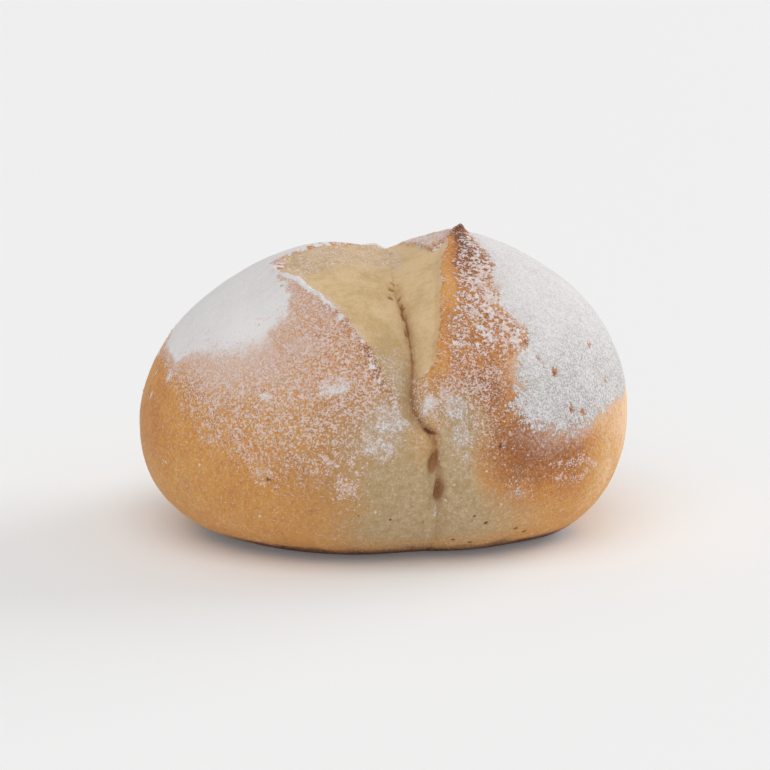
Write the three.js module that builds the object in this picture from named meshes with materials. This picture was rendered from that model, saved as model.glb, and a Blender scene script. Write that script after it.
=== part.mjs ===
// A split bread roll in one piece: a low round loaf that tore open along its middle as it baked.
// Millimetres, +Z up. X runs across the split, and the front of the roll is towards -Y.
// The origin is the middle of the underside.
import * as THREE from 'three';

// Body: half sizes from a middle at waist height
const halfLeft = 51.3;
const halfRight = 47.6;
const halfFront = 42;
const halfBack = 43.5;
const rise = 38;
const drop = 24.8;
const waistHeight = 21;
const rimRound = 1.2;

// Body: roundness, where 2 is an ellipse and more is squarer
const planPower = 2.27;
const leftDomePower = 1.93;
const rightDomePower = 2.15;
const bellyPower = 2.5;
const lean = 0.02;
const twistAngle = -4.7;

// Uneven places of the dough: compass angle from +X and angle of height in degrees,
// spread in degrees and height in millimetres, less than zero for a hollow
const swells = [
  { name: 'right crown', compass: 5, up: 68, spread: 20, height: 1.7 },
  { name: 'left crown', compass: 190, up: 70, spread: 18, height: 0.9 },
  { name: 'left shoulder', compass: 195, up: 30, spread: 28, height: 0.9 },
  { name: 'right shoulder', compass: 340, up: 35, spread: 26, height: 1 },
  { name: 'right jowl', compass: 345, up: -18, spread: 12, height: -2.3 },
  { name: 'right hip', compass: 330, up: -32, spread: 14, height: 1.7 },
  { name: 'left jowl', compass: 192, up: -22, spread: 12, height: 0.6 },
  { name: 'front foot', compass: 268, up: -32, spread: 12, height: -0.8 },
];

// Angles round the roll are in degrees: 0 is the front, 90 the top and 180 the back.
// Course of the split: it bows to the left over the top, most of all at its neck, with a small
// kink, and its foot bends to the right
const bow = { shift: -3.15, start: 6, full: 15.5, leave: 60, end: 105 };
const neck = { shift: -1.15, at: 18, spread: 9 };
const kink = { shift: 0.35, at: 46, spread: 9 };
const foot = { shift: 1.2, at: -28, spread: 18 };

// Closed seam at the foot and down the back
const seam = { reach: 2.4, depth: 1.2, start: -45, full: 0, leave: 165, end: 225 };

// Torn opening over the top, with the reach of each lip from its crease
const opening = { depth: 4, start: 0, full: 70, leave: 85, end: 150, slope: 1.25 };
const leftLip = { reach: 23.5, start: 15, corner: 80, leave: 86, end: 104, step: 0.8, full: 60 };
const rightLip = { reach: 13.2, start: 18, corner: 88, leave: 98, end: 134, step: 1.2, full: 40 };
const lipWave = { size: 0.35, rate: 21 };
const lipEdge = { inner: 0.86, outer: 1.02 };
const lipRoll = { share: 0.35, width: 2.5 };

// Trough between the two lobes, the crack at its bottom, the stitch holes and the burnt tip
const trough = { reach: 13, share: 0.45 };
const crack = { depth: 1.1, width: 0.9 };
const stitchHoles = [
  { at: 9.4, halfAngle: 1.8, shift: 0, depth: 1.5 },
  { at: 0.9, halfAngle: 2.6, shift: -0.9, depth: 1.8 },
  { at: -6.9, halfAngle: 3.1, shift: -0.1, depth: 1.6 },
];
const stitchWidth = 0.85;
const tip = { compass: 0, up: 70, spread: 3, height: 1.1 };

// Mesh: steps round the roll, close together over the holes, and places across it
const rounds = [
  { from: -90, to: -48, step: 7 },
  { from: -48, to: -16, step: 4 },
  { from: -16, to: 14, step: 2 },
  { from: 14, to: 110, step: 4 },
  { from: 110, to: 230, step: 6 },
  { from: 230, to: 270, step: 10 },
];
const wallShares = [0.1, 0.25, 0.45, 0.65, 0.86, 1.02];
const flankCount = 18;
const flankEase = 1.15;
const flatTolerance = 1e-6;

const radians = THREE.MathUtils.degToRad;
const ramp = (from, to, value) => THREE.MathUtils.smoothstep(value, from, to);
const hump = (value, shape) =>
  ramp(shape.start, shape.full, value) * (1 - ramp(shape.leave, shape.end, value));

// Unit direction for an angle across (left to right) and an angle round
function directionAt(across, round) {
  return new THREE.Vector3(
    Math.sin(across),
    -Math.cos(across) * Math.cos(round),
    Math.cos(across) * Math.sin(round),
  );
}

function compassDirection({ compass, up }) {
  const level = Math.cos(radians(up));
  return new THREE.Vector3(
    level * Math.cos(radians(compass)),
    level * Math.sin(radians(compass)),
    Math.sin(radians(up)),
  );
}

const degreesBetween = (direction, place) =>
  THREE.MathUtils.radToDeg(direction.angleTo(compassDirection(place)));

// Distance from the middle to the unsplit body: a superquadric whose eighths differ, plus swells
function bodyRadius(direction) {
  const turn = radians(twistAngle);
  const x = direction.x * Math.cos(turn) + direction.y * Math.sin(turn);
  const y = direction.y * Math.cos(turn) - direction.x * Math.sin(turn);
  const wide = Math.abs(x / (x < 0 ? halfLeft : halfRight));
  const deep = Math.abs(y / (y < 0 ? halfFront : halfBack));
  const ring = (wide ** planPower + deep ** planPower) ** (1 / planPower);
  const above = direction.z > 0;
  const high = Math.abs(direction.z) / (above ? rise * (1 + lean * x) : drop);
  const domePower = THREE.MathUtils.lerp(leftDomePower, rightDomePower, 0.5 + 0.5 * x);
  const power = above ? domePower : bellyPower;
  let radius = (ring ** power + high ** power) ** (-1 / power);
  for (const swell of swells) {
    radius += swell.height * Math.exp(-((degreesBetween(direction, swell) / swell.spread) ** 2));
  }
  return radius;
}

// Where the crease runs, as millimetres to the right of the middle
function creasePlace(angle) {
  let place = bow.shift * hump(angle, bow);
  for (const { shift, at, spread } of [neck, kink, foot]) {
    place += shift * Math.exp(-(((angle - at) / spread) ** 2));
  }
  return place;
}

// Distance of a lip from the crease: it opens evenly to the lip's corner, and closes behind it
function lipReach(lip, angle) {
  const along = THREE.MathUtils.clamp((angle - lip.start) / (lip.corner - lip.start), 0, 1);
  const open = along * (1 - ramp(lip.leave, lip.end, angle));
  const wave = lipWave.size * Math.sin(radians(lipWave.rate * angle));
  return seam.reach + (lip.reach - seam.reach + wave) * open;
}

// Depth of the split below the body: a wide trough, a torn wall that slopes from the lip's step
// down to the crease, and the crack and stitch holes in the crease
function splitDepth(place, angle) {
  const side = place - creasePlace(angle);
  const away = Math.abs(side);
  const lip = side < 0 ? leftLip : rightLip;
  const reach = lipReach(lip, angle);
  const inside = 1 - ramp(lipEdge.inner, lipEdge.outer, away / reach);
  const seamDepth = seam.depth * hump(angle, seam);
  const depth = seamDepth + opening.depth * hump(angle, opening);
  const step = lip.step * hump(angle, lip);
  const low = trough.share * depth * Math.exp(-((side / trough.reach) ** 2));
  const wall = (1 - trough.share) * depth * Math.max(1 - away / reach, 0) ** opening.slope;
  const past = Math.max(away - reach, 0);
  const roll = lipRoll.share * step * Math.exp(-((past / lipRoll.width) ** 2)) * (1 - inside);
  let deep = (seamDepth / seam.depth) * crack.depth * Math.exp(-away / crack.width);
  for (const hole of stitchHoles) {
    const along = ((angle - hole.at) / hole.halfAngle) ** 4;
    deep += hole.depth * Math.exp(-(((side - hole.shift) / stitchWidth) ** 2) - along);
  }
  return low + wall + step * inside - roll + deep;
}

// The flat underside cuts the body, with a small round rim where they meet
function cutByTable(radius, direction) {
  if (direction.z >= 0) {
    return radius;
  }
  const table = -waistHeight / direction.z;
  const near = Math.max(1 - Math.abs(radius - table) / rimRound, 0);
  return Math.min(radius, table) - near * near * rimRound / 4;
}

function surfacePoint(across, angle) {
  const direction = directionAt(across, radians(angle));
  const body = bodyRadius(direction);
  const peak = tip.height * Math.exp(-degreesBetween(direction, tip) / tip.spread);
  const split = splitDepth(body * Math.sin(across), angle);
  const point = direction.clone().multiplyScalar(cutByTable(body - split + peak, direction));
  point.z += waistHeight;
  if (point.z < flatTolerance) {
    point.z = 0;
  }
  return point;
}

// Angle across at which the body is the given millimetres to the right of the middle
function acrossAt(place, angle) {
  let across = 0;
  for (let pass = 0; pass < 4; pass += 1) {
    across = Math.asin(place / bodyRadius(directionAt(across, radians(angle))));
  }
  return across;
}

// Angles across for one step round, from the left end to the right end, without the two ends.
// They follow the lips and the crease, so that those edges stay crisp.
function placesAcross(angle) {
  const crease = creasePlace(angle);
  const halves = [leftLip, rightLip].map((lip) => {
    const sign = lip === leftLip ? -1 : 1;
    const reach = lipReach(lip, angle);
    const wall = wallShares.map((share) => acrossAt(crease + sign * share * reach, angle));
    const edge = wall[wall.length - 1];
    const flank = Array.from({ length: flankCount - 1 }, (_, i) =>
      THREE.MathUtils.lerp(edge, sign * Math.PI / 2, ((i + 1) / flankCount) ** flankEase));
    return [...wall, ...flank];
  });
  return [...halves[0].reverse(), acrossAt(crease, angle), ...halves[1]];
}

function anglesRound() {
  const angles = [];
  for (const { from, to, step } of rounds) {
    for (let angle = from; angle < to; angle += step) {
      angles.push(angle);
    }
  }
  return angles;
}

// One closed grid: a row of points for each angle round, with shared points at the two ends
function rollGeometry() {
  const rows = anglesRound().map((angle) =>
    placesAcross(angle).map((across) => surfacePoint(across, angle)));
  const width = rows[0].length;
  const ends = [-Math.PI / 2, Math.PI / 2].map((across) => surfacePoint(across, 0));
  const points = [...rows.flat(), ...ends];
  const [leftEnd, rightEnd] = [points.length - 2, points.length - 1];
  const faces = [];
  for (let row = 0; row < rows.length; row += 1) {
    const here = row * width;
    const next = ((row + 1) % rows.length) * width;
    faces.push([leftEnd, here, next], [rightEnd, next + width - 1, here + width - 1]);
    for (let i = 0; i < width - 1; i += 1) {
      faces.push([here + i, here + i + 1, next + i], [here + i + 1, next + i + 1, next + i]);
    }
  }
  const geometry = new THREE.BufferGeometry().setFromPoints(points);
  geometry.setIndex(faces.flat());
  geometry.computeBoundingBox();
  const middle = geometry.boundingBox.getCenter(new THREE.Vector3());
  geometry.translate(-middle.x, -middle.y, 0);
  geometry.computeVertexNormals();
  return geometry;
}

function makeRoll() {
  const crust = new THREE.MeshStandardMaterial({ color: 0xc79a68, roughness: 0.85, metalness: 0 });
  const roll = new THREE.Mesh(rollGeometry(), crust);
  roll.name = 'bread_roll';
  return roll;
}

const breadRoll = new THREE.Group();
breadRoll.add(makeRoll());

export default breadRoll;
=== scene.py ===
"""A floured bread roll that split along its middle, with its table and lights.

The file is laid out as a Blender add-on and is run as a script. Shapes are worked out in
millimetres and put into meshes in metres. X runs across the split and the front is towards -Y.
"""
import math

import bpy
import numpy as np
from bpy.props import (
    FloatProperty,
    FloatVectorProperty,
    IntProperty,
    PointerProperty,
)
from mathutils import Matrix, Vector


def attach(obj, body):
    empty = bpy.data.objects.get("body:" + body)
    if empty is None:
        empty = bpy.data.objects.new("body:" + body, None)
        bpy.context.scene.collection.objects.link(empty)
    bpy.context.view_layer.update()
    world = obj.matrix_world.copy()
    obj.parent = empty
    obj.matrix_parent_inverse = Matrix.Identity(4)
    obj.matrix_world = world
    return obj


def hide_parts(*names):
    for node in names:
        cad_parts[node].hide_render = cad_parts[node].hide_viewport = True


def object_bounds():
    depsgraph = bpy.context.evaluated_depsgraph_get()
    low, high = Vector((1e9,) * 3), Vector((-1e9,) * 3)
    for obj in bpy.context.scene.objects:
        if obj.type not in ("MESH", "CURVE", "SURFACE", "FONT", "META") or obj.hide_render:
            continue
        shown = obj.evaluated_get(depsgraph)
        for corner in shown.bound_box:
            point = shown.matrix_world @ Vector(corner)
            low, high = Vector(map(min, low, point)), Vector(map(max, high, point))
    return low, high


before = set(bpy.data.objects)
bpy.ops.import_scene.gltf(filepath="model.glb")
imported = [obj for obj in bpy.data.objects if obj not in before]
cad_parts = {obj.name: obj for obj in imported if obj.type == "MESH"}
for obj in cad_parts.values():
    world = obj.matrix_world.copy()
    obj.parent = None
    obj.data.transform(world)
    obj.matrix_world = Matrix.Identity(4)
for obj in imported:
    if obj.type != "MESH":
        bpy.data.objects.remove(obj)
cad_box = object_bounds()

bl_info = {
    "name": "Floured split roll",
    "version": (1, 0, 0),
    "blender": (4, 5, 0),
    "location": "3D View > Sidebar > Roll",
    "description": "Bakes, splits and flours a bread roll",
    "category": "Add Mesh",
}

METRES = 0.001
ROLL_NODE = "bread_roll"
BODY = "root"

# Body: half sizes from a middle at waist height, and roundness, where 2 is an ellipse
MODEL_WIDTH = 99.3
HALF_LEFT = 51.3
HALF_RIGHT = 47.6
HALF_FRONT = 42.0
HALF_BACK = 43.5
RISE = 38.0
DROP = 24.8
WAIST_HEIGHT = 21.0
BODY_MIDDLE = (1.92, -0.80)
RIM_ROUND = 1.2
PLAN_POWER = 2.27
LEFT_DOME_POWER = 1.93
RIGHT_DOME_POWER = 2.15
BELLY_POWER = 2.5
LEAN = 0.02
TWIST = -4.7

# Uneven places of the dough: compass angle and angle of height in degrees, spread in degrees,
# height in millimetres
SWELLS = {
    "right crown": (5, 68, 20, 1.7),
    "left crown": (190, 70, 18, 0.9),
    "left shoulder": (195, 30, 28, 0.9),
    "right shoulder": (340, 35, 26, 1.0),
    "right jowl": (345, -18, 12, -2.3),
    "right hip": (330, -32, 14, 1.7),
    "left jowl": (192, -22, 12, 0.6),
    "front foot": (268, -32, 12, -0.8),
}

# The split, by angle round the roll in degrees: 0 is the front, 90 the top, 180 the back
BOW = {"shift": -3.15, "start": 6, "full": 15.5, "leave": 60, "end": 105}
BENDS = (
    {"shift": -1.15, "at": 18, "spread": 9},
    {"shift": 0.35, "at": 46, "spread": 9},
    {"shift": 1.2, "at": -28, "spread": 18},
    {"shift": 0.7, "at": 104, "spread": 15},
)
SEAM = {"reach": 2.4, "depth": 1.2, "start": -45, "full": 0, "leave": 165, "end": 225}
OPENING = {"depth": 4.0, "start": 0, "full": 70, "leave": 85, "end": 150, "slope": 1.25}
LEFT_LIP = {"reach": 23.5, "start": 15, "corner": 80, "leave": 86, "end": 104, "step": 0.8, "full": 60}
RIGHT_LIP = {"reach": 13.2, "start": 18, "corner": 88, "leave": 98, "end": 134, "step": 1.2, "full": 40}
LIP_WAVE = {"size": 0.35, "rate": 21}
LIP_EDGE = {"inner": 0.86, "outer": 1.02}
LIP_ROLL = {"share": 0.35, "width": 2.5}
TROUGH = {"reach": 13.0, "share": 0.45}
# The crack is softer, and nearly closed, over the top
CRACK = {
    "depth": 1.1, "width": 0.9, "fade": 0.85, "soft": 0.16,
    "start": 56, "full": 74, "leave": 120, "end": 150,
}
# Stitch holes: angle round, half length in degrees, half width, place right of the crease and
# lean in millimetres for each degree, and depth
STITCH_HOLES = (
    (9.6, 1.25, 1.1, 0.25, -0.35, 1.4),
    (0.8, 2.9, 1.15, -0.95, 0.08, 1.7),
    (-6.6, 3.9, 1.1, 0.1, 0.10, 1.4),
)
TIP = {"compass": 0, "up": 70, "spread": 3.0, "height": 0.7}

# Crust flap that folds forward behind the opening: angles round that it lies between, and its
# edge, as place across and place deep
FLAP_FROM = 60
FLAP_TO = 145
FLAP_EDGE = (
    (-4, 40), (7.6, 40), (8.0, 4), (8.1, -2.5), (8.6, -9.4), (10.4, -8.8), (12.4, -7.8),
    (14.0, -4.5), (15.5, 0.5),
)

# Flour lines: compass angle, and the height above which flour lies thick, or thin
THICK_LINE = (
    (0, 33), (60, 31), (120, 31), (150, 35), (171, 39.5), (189, 38.5), (195, 36.5), (200, 39.4),
    (208, 41.3), (216, 42.3), (221, 44.6), (225, 47), (232, 51), (240, 56), (270, 60), (284, 54),
    (289, 40), (292, 33.5), (294, 31.5), (297, 29), (301, 27.4), (307, 27.3), (314, 29.2),
    (320, 30.3), (331, 29.2), (345, 30),
)
THIN_LINE = (
    (0, 27), (60, 24), (120, 24), (160, 30), (185, 35), (193, 33.5), (199, 30.5), (206, 26),
    (212, 22), (220, 18.5), (225, 16), (229, 13.5), (236, 11.5), (243, 11.5), (250, 13), (255, 17),
    (263, 21), (272, 20), (282, 17), (297, 14), (306, 17), (318, 21), (326, 23.5), (340, 25.5),
)

# Where thick flour ends beside the split: height, and place across
LEFT_CAP = ((44, -26), (46.7, -24.6), (50, -22.2), (52, -22.5), (54, -22.5))
RIGHT_CAP = (
    (26, 23.1), (28, 20.4), (30.6, 18.4), (34, 17.6), (37, 17.6), (40, 17.2), (42, 19.4),
    (44, 20.0), (47, 17.6), (50, 15.6), (53.5, 16.6), (56, 17.8), (58, 16.6), (59.5, 15.4),
)

# Edge of the bare dough left of the seam: angle round, and place beside the crease
BARE_LINE = ((9.5, -1.9), (12, -2.2), (22, -3.3), (26, -4.0))

# Stretches round the roll, in degrees
FRONT_END = 84
BACK_FADE = (62, 84)
SEAM_LUMPS_AT = {"start": -32, "full": -14, "leave": 10, "end": 20}
BARE_DOUGH_AT = {"start": 0, "full": 6, "leave": 22, "end": 28}
LIP_FLOUR_AT = {"start": 40, "full": 58, "leave": 77, "end": 80}
LIP_RIDGE_AT = {"start": 30, "full": 42, "leave": 78, "end": 86}
LOWER_LIP_AT = {"start": 14, "full": 20, "leave": 44, "end": 60}
BACK_LIP_AT = {"start": 76, "full": 80, "leave": 93, "end": 99}
SADDLE_AT = {"start": 80, "full": 92, "leave": 120, "end": 140}

# Heights, or places across, between which something sets in
LEFT_BAND_HEIGHTS = (36, 44)
RIGHT_BAND_HEIGHTS = (31, 36.5)
WORM_HEIGHTS = (36.5, 44.5)
HIGH_BAND_HEIGHTS = (37, 45)
LOW_BAND_HEIGHTS = (46, 38)
BARE_INSIDE_HEIGHTS = (24, 30)
GRIT_AND_SHADE_HEIGHTS = (50, 30)
FOOT_HEIGHTS = (36, 30)
RIM_HEIGHTS = (4.4, 1.2)
TABLE_GAP_HEIGHTS = (0.2, 2.5)
FLECK_HEIGHTS = (2, 9)
RIGHT_LOBE_PLACES = (-5, 12)
RIGHT_FRONT_PLACES = (8, 16)
FAR_RIGHT_PLACES = (12, 18)

# Places on the roll: X, Y and Z, a radius each way, all in millimetres, and an amount
FLOUR_LUMPS = (
    ((-7.0, -41, 30.0), (5.8, 4, 5.4), 0.78),
    ((-9.6, -40.5, 25.5), (4.4, 4, 3.2), 0.75),
    ((-28.8, -32.4, 34.0), (2.4, 3, 0.9), 1.00),
    ((0.6, -40.5, 33.2), (1.4, 3, 2.2), 1.10),
    ((-0.4, -40.9, 31.6), (0.9, 3, 1.2), 1.00),
    ((1.75, -41.3, 12.2), (0.4, 3, 2.2), 0.80),
    ((5.4, -41, 32.0), (3.4, 4, 3.2), 0.80),
    ((6.4, -42, 26.8), (2.6, 4, 3.4), 0.60),
    ((-30.5, -34, 21.0), (1.6, 3, 3.0), 0.55),
    ((-16.6, -36.4, 36.6), (4.2, 4, 3.2), 0.85),
    ((-10.5, -39, 33.0), (3.5, 4, 2.6), 0.40),
    ((17.5, -41, 15.2), (3.2, 4, 1.7), 0.45),
    ((-9.0, -41, 24.0), (3.0, 4, 2.4), 0.55),
    ((7.6, -42, 22.0), (2.0, 4, 3.0), 0.45),
    ((-48.0, -7.4, 29.6), (1.5, 0.6, 1.1), 1.20),
    ((-46.6, -4.6, 33.6), (1.5, 0.5, 0.6), 1.10),
    ((-46.8, -16.5, 18.6), (1.5, 0.5, 0.6), 1.00),
    ((-45.5, -12.0, 35.0), (2.0, 1.6, 2.6), 0.80),
)
HAZY_PLACES = (
    ((6.5, -38, 37), (4.5, 8, 4.5), 0.28),
    ((-22, -29.7, 43), (8, 7, 4), 0.80),
)
DUSTY_CORNER = ((-18, -6, 56), (5, 7, 4))
DUSTY_WALL = ((-5.4, -36.8, 40), (2.6, 5, 6.5))
# Where the grit changes: a brighter patch of flour, and a grey patch that is partly painted shade
GRIT_AND_SHADE_PLACES = (
    ((-30.6, -21, 44.8), (4.4, 6, 2.4), -0.5),
    ((-7.5, -40, 29), (6, 5, 7), 0.35),
)
FLAKED_PLACES = (
    ((-22.7, -9.6, 53.9), (1.8, 3.4, 1.7), 1.0),
    ((-24.0, -14.6, 51.4), (2.4, 3.4, 1.9), 1.0),
    ((-42.9, -11.6, 38.4), (1.5, 2.4, 4.4), 1.0),
    ((-37.3, -14.0, 43.2), (1.6, 2.4, 1.3), 1.0),
)
BROWNING_AND_HIGHLIGHT_PLACES = (
    ((-47, -8, 27), (8, 14, 9), 0.24),
    ((25.0, -39, 20.5), (12, 10, 7.0), 0.40),
    ((30.5, -36, 23.5), (7, 8, 3.5), 0.12),
    ((16.5, -41, 26.0), (6, 7, 6), 0.26),
    ((12.0, -40, 34.0), (5, 7, 5), 0.30),
    ((-26, -36, 18), (12, 10, 6), 0.14),
    ((-23, -9, 54), (2.5, 4, 3), 0.20),
    ((-8.5, -35, 39.5), (3, 4, 3), 0.22),
    ((14, -16, 57), (4, 7, 4), 0.22),
    # Painted highlight: lighter crust at the right rim
    ((46, -14, 24), (8, 20, 11), -0.38),
    ((-14, -38, 29), (9, 8, 10), 0.17),
    ((18, -41, 26), (9, 7, 5), 0.18),
    ((15, -42, 17), (6, 7, 5), 0.12),
    ((-17, -38, 13), (9, 8, 4), 0.07),
    ((38, -31, 18), (5, 6, 9), -0.18),
)
PALE_PLACES = (
    ((2, -41, 13), (11, 12, 9), 1.0),
    ((-7, -40, 20), (6, 8, 9), 0.65),
    ((5, -42, 22), (4, 8, 9), 0.6),
    ((13, -40, 8), (13, 12, 6), 0.5),
    ((-10, -36, 8), (9, 12, 6), 0.55),
    ((-4, -39, 31), (5, 8, 6), 0.55),
    ((-3, -37, 36), (3, 6, 5), 0.45),
    ((-2, -30, 43), (2.5, 7, 7), 0.35),
    ((-12, -40, 27), (8, 8, 8), 0.55),
    ((8, -42, 28), (5, 8, 6), 0.45),
    ((3.5, -41, 33), (3.2, 5, 3.6), 0.50),
    ((8.0, -41, 31), (3.6, 5, 4.6), 0.35),
)
# Darker, duller dough: painted shade on the left wall of the opening, and the dough's own olive tone
# lower on the left lobe
SHADED_PLACES = (
    ((-6.0, -35.0, 40.0), (2.8, 6, 6), 1.0),
    ((-3.4, -39.5, 34), (2.0, 5, 5), 0.6),
    ((-16.5, -38.0, 19), (10, 8, 11), 1.0),
    ((-12, -38, 34), (5, 6, 4), 0.5),
)
TIP_PLACE = (15.2, -1.9, 59.3)
SCORCHED_PLACES = (
    (TIP_PLACE, (1.9, 3.4, 3.0), 1.0),
    ((14.7, -7.6, 58.8), (2.4, 4.0, 3.0), 0.95),
    ((14.6, -13.6, 57.0), (3.4, 4.0, 2.6), 0.80),
)
STRAND_PLACES = (
    ((3.3, -42.6, 24.6), (1.6, 3.0, 4.8), 1.0),
    ((4.6, -43, 18), (2.6, 4, 7.0), 0.74),
)
SADDLE_PLACE = ((-3, 7.5, 58.5), (6.5, 9, 6))

# Places alone, with one radius for each kind
PORE_RADIUS = 0.48
PORES = (
    (3.7, -39.1, 9.6), (10.1, -34.6, 3.9), (6.5, -35.7, 4.9), (19.0, -36.2, 6.4),
    (21.2, -34.0, 5.1), (14.0, -42.1, 24.6), (-29.2, -35.3, 18.7), (12.1, -39.4, 8.9),
    (9.5, -40.6, 10.8), (-0.5, -40.0, 10.2),
)
CHIP_RADIUS = (0.55, 0.85, 1.0)
CHIPS = (
    ((35.9, -26.8, 40.3), 1.0), ((26.2, -35.6, 36.9), 1.3), ((29.2, -36.8, 29.8), 1.0),
    ((38.7, -28.4, 33.2), 0.7), ((31.9, -35.4, 28.9), 1.0), ((21.0, -34.0, 42.6), 0.9),
    ((22.9, -35.4, 39.8), 0.8), ((24.0, -35.6, 38.4), 0.7), ((-38.5, -12.3, 43.0), 0.5),
    ((-29.5, -5.4, 51.0), 0.4), ((-29.1, -10.7, 50.4), 0.4), ((-34.1, -15.7, 45.6), 0.4),
)
CLUMP_RADIUS = 2.0
CLUMPS = (
    (-32.9, -32.8, 25.2), (-32.1, -33.6, 22.4), (-30.0, -34.8, 19.7), (-19.9, -39.2, 21.3),
    (-16.2, -40.2, 18.4), (-14.2, -40.7, 22.3), (-17.9, -39.7, 22.8), (-15.0, -40.3, 16.4),
    (1.2, -38.5, 34.4), (2.6, -40.2, 33.5), (17.5, -41.2, 15.2), (-9.0, -41.3, 24.0),
    (29.6, -37.5, 18.8), (31.3, -36.4, 17.1), (28.3, -38.0, 16.5), (33.2, -35.2, 17.7),
    (26.5, -39.0, 18.4),
)

# How dark the crease's painted shade is, by angle round
CREASE_STRENGTH = (
    (-30, 0.0), (-14, 0.12), (-6, 0.35), (1, 0.5), (4, 0.8), (7.6, 0.5), (8.6, 0.1), (11, 0.1),
    (12.4, 0.9), (22, 0.95), (34, 0.85), (46, 0.95), (52, 0.6), (60, 0.45), (68, 0.18), (90, 0.12),
    (120, 0.3), (200, 0.2), (230, 0.0),
)
# Pits beside the crease: place across, angle round, half width in millimetres and in degrees
CREASE_PITS = (
    (-1.9, 63.5, 0.90, 1.5), (-2.9, 57.6, 0.70, 1.1), (-0.6, 59.4, 0.55, 1.4),
    (-0.7, 53.4, 0.75, 2.3), (-1.3, 48.2, 0.50, 2.0), (-1.5, 39.9, 0.50, 2.4),
    (-0.2, 66.4, 0.50, 0.9), (-1.3, 67.6, 0.60, 0.7),
)
SPIKE = {"height": 2.1, "radius": 0.95}

# Flecks: how many are wished for, by what lies there, and limits of their half width
FLECK_SHARES = {"specks": 0.16, "worms": 0.35, "clumps": 0.6, "thin flour": 0.1}
FLECK_SIZES = (0.05, 0.36)
FLECK_SPREAD = 0.42

# Noise: what brings it to about -1 to 1
GRAIN_GAIN = 1.6
SHADER_GRAIN_GAIN = 2.4

# Grid: where its rows round the roll are fine, how wide its fine middle is, and how dense both
# are elsewhere, all by angle in degrees
ROUND_FINE = {"start": -62, "full": -40, "leave": 112, "end": 140}
ROUND_COARSE = 0.5
ACROSS_FINE = 26
ACROSS_COARSE = 0.62

# Shading: size in millimetres and detail of four noises, bump depths in millimetres, and gloss
SHADER_GRAINS = ((0.34, 1), (0.68, 2), (1.5, 2), (5.5, 2))
CRUST_BUMP = 0.22
FLECK_BUMP = 0.03
CRUST_ROUGHNESS = 0.62
FLOUR_ROUGHNESS = 0.95
TABLE_ROUGHNESS = 0.9
CRUST_SHINE = 0.3
FLOUR_SHINE = 0.2
WHITE = (1, 1, 1, 1)

# Table, and lights with the direction they come from and their width as an angle
TABLE_HALF = 6000.0
TABLE_TOP = -0.05
KEY_LIGHT = {"towards": (-0.25, -0.5, 1.0), "width": 60}
SIDE_LIGHT = {"towards": (1.0, 0.35, 0.35), "width": 45}

# Camera: angles in degrees, lens and places in millimetres
CAMERA_TURN = -12.0
CAMERA_UP = 12.4
CAMERA_LENS = 100.0
CAMERA_DISTANCE = 438.3
CAMERA_AIM = (0.56, -0.51, 28.05)

# Numbers of the crust that are painted on its points, besides the torn depth
PAINTED = (
    "flour", "haze", "specks", "worms", "sandy", "browning", "pale", "burn", "crease", "pores",
    "holes", "shaded",
)


def from_screen(red, green, blue):
    """A colour as Blender keeps it, from the three numbers 0 to 255 that a screen shows."""
    shares = np.array([red, green, blue]) / 255
    straight = np.where(shares <= 0.04045, shares / 12.92, ((shares + 0.055) / 1.055) ** 2.4)
    return tuple(float(share) for share in straight)


def ramp(start, end, value):
    """0 before start and 1 after end, joined by a smooth S."""
    share = np.clip((value - start) / (end - start), 0, 1)
    return share * share * (3 - 2 * share)


def hump(value, shape):
    """Rises from 0 to 1 between start and full, and falls again between leave and end."""
    rise = ramp(shape["start"], shape["full"], value)
    return rise * (1 - ramp(shape["leave"], shape["end"], value))


def bell(value, at, spread):
    """A bell of height 1 round a value."""
    return np.exp(-(((value - at) / spread) ** 2))


def grain(points, size, seed):
    """Gradient noise, about -1 to 1: random slopes at the corners of cells of one size, blended
    between the corners by a smooth S."""
    cells = points / size
    corner = np.floor(cells).astype(int)
    inside = cells - corner
    share = inside**3 * (inside * (inside * 6 - 15) + 10)
    source = np.random.default_rng(seed)
    order = source.permutation(256)
    slopes = source.normal(size=(256, 3))
    slopes /= np.linalg.norm(slopes, axis=1, keepdims=True)
    heights = np.zeros(points.shape[:-1])
    for step in np.ndindex(2, 2, 2):
        x, y, z = np.moveaxis((corner + step) & 255, -1, 0)
        pick = order[(order[(order[x] + y) & 255] + z) & 255]
        weight = np.prod(np.where(step, share, 1 - share), axis=-1)
        heights += weight * np.sum(slopes[pick] * (inside - step), axis=-1)
    return heights * GRAIN_GAIN


def rough(points, size, seed, layers=3):
    """Several layers of grain, each half as large and half as high as the one before."""
    return sum(grain(points, size / 2**i, seed + i) / 2**i for i in range(layers))


def compass_direction(compass, up):
    """Unit direction at a compass angle from +X and an angle of height, in degrees."""
    level = math.cos(math.radians(up))
    around = math.radians(compass)
    return np.array([level * math.cos(around), level * math.sin(around), math.sin(math.radians(up))])


def degrees_between(directions, compass, up):
    """Angle in degrees from each direction to a place on the compass."""
    return np.degrees(np.arccos(np.clip(directions @ compass_direction(compass, up), -1, 1)))


def directions_at(across, turn):
    """Unit directions for angles across, left to right, and angles round in degrees."""
    turned = np.radians(turn)
    return np.stack([
        np.sin(across),
        -np.cos(across) * np.cos(turned),
        np.cos(across) * np.sin(turned),
    ], axis=-1)


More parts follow.
